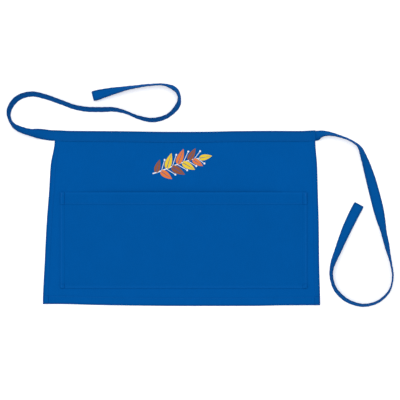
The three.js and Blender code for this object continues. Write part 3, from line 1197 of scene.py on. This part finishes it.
def stripes_per_metre(spacing):
    """Scale of a Wave Texture whose stripes are this far apart, in metres."""
    return 2 * math.pi / (20 * spacing)


print("royal blue is", [round(part, 3) for part in linear("#0055A1")])

# %% [markdown]
# ### Workwear twill
# Polyester and cotton twill, piece-dyed royal blue. Its face is matt and even, with fine ribs
# that climb at a steep slant, yarns of uneven thickness, and a soft bloom of fibre ends that
# lightens it at low angles. The hollows between the ribs are painted darker, as painted shade.
# Stitches pull the cloth into a shallow groove with small puckers beside it. Folded edges and
# the seams' grooves take on a painted tone: painted shade on the panel and the tape, where a
# folded edge turns away from the light, and a painted lighter tone on the pocket, which offsets
# the shadow along its edges. The real ribs are 0.8 mm apart. They are drawn 2.4 mm apart, and
# 2.0 mm on the tape, because finer ones would vanish in the picture.

# %% Ribs, yarns and dye
# Yarns that vary over 0.4 mm are drawn 1.4 mm apart for the same reason
rib_slant = math.radians(-27)
rib_spacing, tape_rib_spacing = 2.4 * mm, 2.0 * mm
yarn_pitch, slub_length, dye_patch = 1.4 * mm, 22 * mm, 60 * mm


def add_weave(tree, cut, spacing):
    """Adds the ribs, the uneven yarns and the patches of dye, on the flat pattern."""
    slant = add_node(tree, "ShaderNodeMapping", {
        "Vector": cut.outputs["UV"], "Rotation": (0, 0, rib_slant),
    })
    ribs = add_node(tree, "ShaderNodeTexWave", {
        "Vector": slant.outputs["Vector"], "Scale": stripes_per_metre(spacing),
        "Distortion": 1.4, "Detail": 2.0, "Detail Scale": 1.3,
    }, wave_type="BANDS", bands_direction="X", wave_profile="SIN")
    stretch = add_node(tree, "ShaderNodeMapping", {
        "Vector": cut.outputs["UV"], "Scale": (1 / yarn_pitch, 1 / slub_length, 1),
    })
    yarns = add_node(tree, "ShaderNodeTexNoise", {
        "Vector": stretch.outputs["Vector"], "Scale": 1.0, "Detail": 3.0, "Roughness": 0.6,
    })
    dye = add_node(tree, "ShaderNodeTexNoise", {
        "Vector": cut.outputs["UV"], "Scale": 1 / dye_patch, "Detail": 4.0, "Roughness": 0.55,
    })
    return ribs, yarns, dye


print(f"ribs {rib_spacing / mm:.1f} mm apart take a scale of {stripes_per_metre(rib_spacing):.0f}")

# %% Grooves, puckers and folded edges
groove_share, relief_strength, relief_depth = 0.35, 0.4, 1.2 * mm


def add_seams(tree):
    """Adds how near a point is to a seam's groove, to its puckers and to a folded edge, 0 to 1."""
    to_seams = add_node(tree, "ShaderNodeAttribute", attribute_name="to_seams")
    to_edge = add_node(tree, "ShaderNodeAttribute", attribute_name="to_edge")
    parts = add_node(tree, "ShaderNodeSeparateXYZ", {"Vector": to_seams.outputs["Vector"]})
    away = [
        add_node(tree, "ShaderNodeMath", {0: parts.outputs[axis]}, operation="ABSOLUTE")
        for axis in "XYZ"
    ]
    nearer = add_node(tree, "ShaderNodeMath", {
        0: away[0].outputs[0], 1: away[1].outputs[0],
    }, operation="MINIMUM")
    nearest = add_node(tree, "ShaderNodeMath", {
        0: nearer.outputs[0], 1: away[2].outputs[0],
    }, operation="MINIMUM")
    reaches = [
        (nearest.outputs[0], 0.3 * mm, 1.3 * mm),
        (nearest.outputs[0], 1 * mm, 10 * mm),
        (to_edge.outputs["Fac"], 0.8 * mm, 7 * mm),
    ]
    return [
        add_node(tree, "ShaderNodeMapRange", {
            "Value": distance, "From Min": full, "From Max": gone, "To Min": 1.0, "To Max": 0.0,
        }, interpolation_type="SMOOTHSTEP")
        for distance, full, gone in reaches
    ]


print(f"a seam's groove is {groove_share * relief_strength * relief_depth / mm:.2f} mm deep")

# %% Twill, for the panel and the pocket, and for the tape
pucker_length = 8 * mm


def twill(name, face_colour, hollow_shade_colour, painted_fold_tone, painted_fold_share, painted_seam_share, spacing):
    """The two shares say how far folded edges and seams take on the painted fold tone, 0 to 1:
    painted shade on the panel and the tape, a painted lighter tone on the pocket. The hollow
    colour is painted shade in the weave's hollows.
    """
    material, tree = new_material(name)
    cut = add_node(tree, "ShaderNodeUVMap", uv_map="cut")
    ribs, yarns, dye = add_weave(tree, cut, spacing)
    groove, beside, edge = add_seams(tree)

    # Colour: ribs over hollows in painted shade, uneven yarns and dye, and the painted tone of grooves
    # and edges
    rib_share = add_node(tree, "ShaderNodeMapRange", {
        "Value": ribs.outputs["Fac"], "To Min": 0.55, "To Max": 1.0,
    })
    woven = add_node(tree, "ShaderNodeMix", {
        "Factor": rib_share.outputs[0], "A": linear(hollow_shade_colour), "B": linear(face_colour),
    }, data_type="RGBA")
    uneven = add_node(tree, "ShaderNodeMath", {
        0: yarns.outputs["Fac"], 1: 0.16, 2: 0.92,
    }, operation="MULTIPLY_ADD")
    dyed = add_node(tree, "ShaderNodeMath", {
        0: dye.outputs["Fac"], 1: 0.10, 2: -0.05,
    }, operation="MULTIPLY_ADD")
    shade = add_node(tree, "ShaderNodeMath", {0: uneven.outputs[0], 1: dyed.outputs[0]}, operation="ADD")
    tinted = add_node(tree, "ShaderNodeVectorMath", {
        0: woven.outputs["Result"], "Scale": shade.outputs[0],
    }, operation="SCALE")
    # Grooves and folded edges take on the painted fold tone: painted shade, but a painted lighter tone
    # on the pocket
    dark = add_node(tree, "ShaderNodeMath", {0: groove.outputs[0], 1: painted_seam_share}, operation="MULTIPLY")
    darker = add_node(tree, "ShaderNodeMath", {
        0: edge.outputs[0], 1: painted_fold_share, 2: dark.outputs[0],
    }, operation="MULTIPLY_ADD", use_clamp=True)
    colour = add_node(tree, "ShaderNodeMix", {
        "Factor": darker.outputs[0], "A": tinted.outputs["Vector"], "B": linear(painted_fold_tone),
    }, data_type="RGBA")

    # Relief: ribs and yarns, then the grooves and puckers of the seams
    weave_height = add_node(tree, "ShaderNodeMath", {
        0: yarns.outputs["Fac"], 1: 0.6, 2: ribs.outputs["Fac"],
    }, operation="MULTIPLY_ADD")
    weave = add_node(tree, "ShaderNodeBump", {
        "Height": weave_height.outputs[0], "Strength": 0.5, "Distance": 0.25 * mm,
    })
    pucker = add_node(tree, "ShaderNodeTexNoise", {
        "Vector": cut.outputs["UV"], "Scale": 1 / pucker_length, "Detail": 1.0,
    })
    pulled = add_node(tree, "ShaderNodeMath", {
        0: pucker.outputs["Fac"], 1: beside.outputs[0],
    }, operation="MULTIPLY")
    sunk = add_node(tree, "ShaderNodeMath", {
        0: groove.outputs[0], 1: -groove_share, 2: pulled.outputs[0],
    }, operation="MULTIPLY_ADD")
    relief = add_node(tree, "ShaderNodeBump", {
        "Height": sunk.outputs[0], "Normal": weave.outputs["Normal"],
        "Strength": relief_strength, "Distance": relief_depth,
    })
    rough = add_node(tree, "ShaderNodeMapRange", {
        "Value": yarns.outputs["Fac"], "To Min": 0.80, "To Max": 0.95,
    })
    surface = add_node(tree, "ShaderNodeBsdfPrincipled", {
        "Base Color": colour.outputs["Result"],
        "Roughness": rough.outputs[0],
        "IOR": 1.47,
        "Specular IOR Level": 0.02,
        "Sheen Weight": 0.05,
        "Sheen Roughness": 0.5,
        "Sheen Tint": linear("#0A5FC0"),
        "Normal": relief.outputs["Normal"],
    })
    add_node(tree, "ShaderNodeOutputMaterial", {"Surface": surface.outputs["BSDF"]})
    return material


# After the face colour come the painted shade of the weave's hollows and the painted tone of folded
# edges and seams, which is lighter on the pocket
workwear_twill = twill("workwear_twill", "#0055A1", "#00407E", "#003F7C", 0.62, 0.12, rib_spacing)
pocket_twill = twill("pocket_twill", "#00549F", "#00407D", "#0E66B8", 0.15, 0.05, rib_spacing)
tape_twill = twill("tape_twill", "#02539C", "#023D76", "#023C72", 0.60, 0.15, tape_rib_spacing)
print("twill:", len(workwear_twill.node_tree.nodes), "nodes")

# %% [markdown]
# ### Sewing thread
# Core-spun polyester, dyed to match. It is smoother than the cloth, so each stitch catches a
# small soft highlight, and its fibres show as a fine grain of colour and relief.

# %% Thread
fibre_size = 0.7 * mm

sewing_thread, tree = new_material("core_spun_polyester_thread")
where = add_node(tree, "ShaderNodeTexCoord")
fibres = add_node(tree, "ShaderNodeTexNoise", {
    "Vector": where.outputs["Object"], "Scale": 1 / fibre_size, "Detail": 2.0,
})
fibre_colour = add_node(tree, "ShaderNodeMix", {
    "Factor": fibres.outputs["Fac"], "A": linear("#004E98"), "B": linear("#0A66BC"),
}, data_type="RGBA")
plies = add_node(tree, "ShaderNodeBump", {
    "Height": fibres.outputs["Fac"], "Strength": 0.4, "Distance": 0.1 * mm,
})
surface = add_node(tree, "ShaderNodeBsdfPrincipled", {
    "Base Color": fibre_colour.outputs["Result"],
    "Roughness": 0.55,
    "IOR": 1.5,
    "Specular IOR Level": 0.12,
    "Normal": plies.outputs["Normal"],
})
add_node(tree, "ShaderNodeOutputMaterial", {"Surface": surface.outputs["BSDF"]})
print("thread:", len(tree.nodes), "nodes")

# %% [markdown]
# ### Screen-printing ink
# Plastisol ink, cured on the cloth. It lies as a soft, slightly rubbery film: a little smoother
# than the twill, with the weave telling through as a faint grain, and thinner in places.

# %% Inks
ink_colours = {
    "white": ("#F1F2F0", "#D9DEE6"),
    "brown": ("#93512D", "#7A4327"),
    "orange": ("#E37A2E", "#CC6A28"),
    "yellow": ("#EBCB2A", "#D6B726"),
}
thin_patch, ink_grain = 4 * mm, 1.1 * mm


def plastisol(name, full_colour, thin_colour):
    """One ink. thin_colour shows where the film is thinner."""
    material, tree = new_material(name)
    where = add_node(tree, "ShaderNodeTexCoord")
    cover = add_node(tree, "ShaderNodeTexNoise", {
        "Vector": where.outputs["Object"], "Scale": 1 / thin_patch, "Detail": 3.0,
    })
    colour = add_node(tree, "ShaderNodeMix", {
        "Factor": cover.outputs["Fac"], "A": linear(full_colour), "B": linear(thin_colour),
    }, data_type="RGBA")
    grain = add_node(tree, "ShaderNodeTexNoise", {
        "Vector": where.outputs["Object"], "Scale": 1 / ink_grain, "Detail": 1.0,
    })
    bump = add_node(tree, "ShaderNodeBump", {
        "Height": grain.outputs["Fac"], "Strength": 0.35, "Distance": 0.2 * mm,
    })
    surface = add_node(tree, "ShaderNodeBsdfPrincipled", {
        "Base Color": colour.outputs["Result"],
        "Roughness": 0.6,
        "IOR": 1.5,
        "Specular IOR Level": 0.25,
        "Normal": bump.outputs["Normal"],
    })
    add_node(tree, "ShaderNodeOutputMaterial", {"Surface": surface.outputs["BSDF"]})
    return material


for name in ink_names:
    print_mesh.materials.append(plastisol(f"plastisol_{name}", *ink_colours[name]))
print_mesh.polygons.foreach_set("material_index", print_inks)
print_mesh.update()
print("inks:", [material.name for material in print_mesh.materials])

# %% [markdown]
# ## Floor and light
# The photograph has a plain white ground and hardly any shadow: a lightbox picture. A wide sheet
# of matt white paper, a very soft light from nearly straight above, and an even white surround
# give that. Straight light from above also makes the leaning ties darker than the flat cloth.

# %% Paper floor
floor_size, floor_drop = 60, 0.2 * mm

bpy.ops.object.select_all(action="DESELECT")
bpy.ops.mesh.primitive_plane_add(size=floor_size, location=(0, 0, -floor_drop))
floor = bpy.context.object
floor.name = "paper_floor"
paper, tree = new_material("matt_white_paper")
surface = add_node(tree, "ShaderNodeBsdfPrincipled", {
    "Base Color": linear("#F4F4F4"), "Roughness": 0.9, "Specular IOR Level": 0.1,
    "Emission Color": linear("#FFFFFF"), "Emission Strength": 0.30,
})
add_node(tree, "ShaderNodeOutputMaterial", {"Surface": surface.outputs["BSDF"]})
floor.data.materials.append(paper)
floor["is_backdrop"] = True
print(f"floor {floor.dimensions.x:.0f} m wide")

# %% Soft light from above, and an even surround
light_tilt = (math.radians(-9), math.radians(-7), 0)
light_spread = math.radians(60)
surround_strength = 0.52

bpy.ops.object.light_add(type="SUN", location=(0, 0, 3), rotation=light_tilt)
softbox = bpy.context.object
softbox.name = "overhead_softbox"
softbox.data.energy = 1.9
softbox.data.angle = light_spread

surround = bpy.data.worlds.new("white_surround")
surround.use_nodes = True
surround.node_tree.nodes.clear()
path = add_node(surround.node_tree, "ShaderNodeLightPath")
seen = add_node(surround.node_tree, "ShaderNodeMapRange", {
    "Value": path.outputs["Is Camera Ray"], "To Min": surround_strength, "To Max": 1.0,
})
glow = add_node(surround.node_tree, "ShaderNodeBackground", {
    "Color": (1, 1, 1, 1), "Strength": seen.outputs[0],
})
add_node(surround.node_tree, "ShaderNodeOutputWorld", {"Surface": glow.outputs["Background"]})
bpy.context.scene.world = surround
bpy.context.scene.view_settings.view_transform = "Standard"
print(f"the light spreads over {math.degrees(softbox.data.angle):.0f} degrees")

# %% [markdown]
# ## Handing the pieces over
# Every piece gets its material and rides on the apron's one body, and each cloth takes the place of its
# solid.

# %% Give each piece its material and its body
threads = [hem_stitches, pocket_stitches, *band_stitches, *left_stitches, *right_stitches]
cloths = [
    (panel_cloth, workwear_twill, "panel", "panel_twill"),
    (pocket_cloth, pocket_twill, "pocket", "pocket_twill"),
    (waistband_tape, tape_twill, "waistband", "band_tape"),
    (left_tape, tape_twill, "tie_left", "tie_tape"),
    (right_tape, tape_twill, "tie_right", "tie_tape"),
]
for piece, material, node, slot in cloths:
    piece.data.materials.append(material)
    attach(piece, "root")
    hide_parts(node)

thread_slots = ["panel_twill", "pocket_twill", "band_tape", "band_tape"] + ["tie_tape"] * 6
for piece, slot in zip(threads, thread_slots):
    piece.data.materials.append(sewing_thread)
    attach(piece, "root")
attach(screen_print, "root")
print(len(cloths), "cloths,", len(threads), "rows of thread and one print")

# %% Print the frame's box and the dressed box
dressed_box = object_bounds()
boxes = {
    "frame": [list(corner) for corner in frame_box],
    "dressed": [list(corner) for corner in dressed_box],
}
for name, (low, high) in boxes.items():
    print(name, [round(value, 4) for value in low], [round(value, 4) for value in high])
